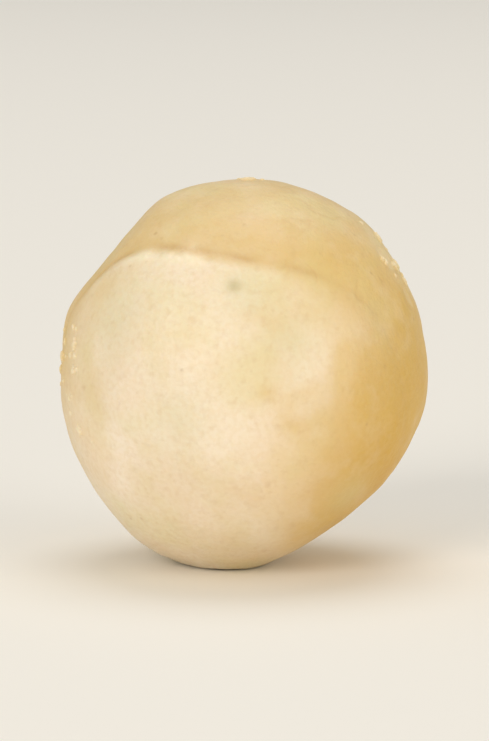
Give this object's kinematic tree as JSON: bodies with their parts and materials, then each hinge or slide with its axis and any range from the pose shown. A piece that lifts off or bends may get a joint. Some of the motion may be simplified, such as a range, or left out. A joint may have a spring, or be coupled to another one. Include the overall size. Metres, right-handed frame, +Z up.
{
  "type": "shelled macadamia nut",
  "caption": "Whole shelled macadamia kernel: a lopsided pale ball with a smooth cap behind a shallow ledge, resting on a small flat spot.",
  "frame": {"origin": "centre of the kernel's footprint box on the surface that it rests on", "axes": "+Z up from the rest spot, the kernel's longest extent; the smooth cap faces -Y, a little down and to -X; +X to the right seen from the front"},
  "size_m": [0.0178, 0.0176, 0.0187],
  "materials": {
    "kernel_flesh": null
  },
  "bodies": {
    "root": {"kernel": "kernel_flesh"}
  },
  "joints": []
}
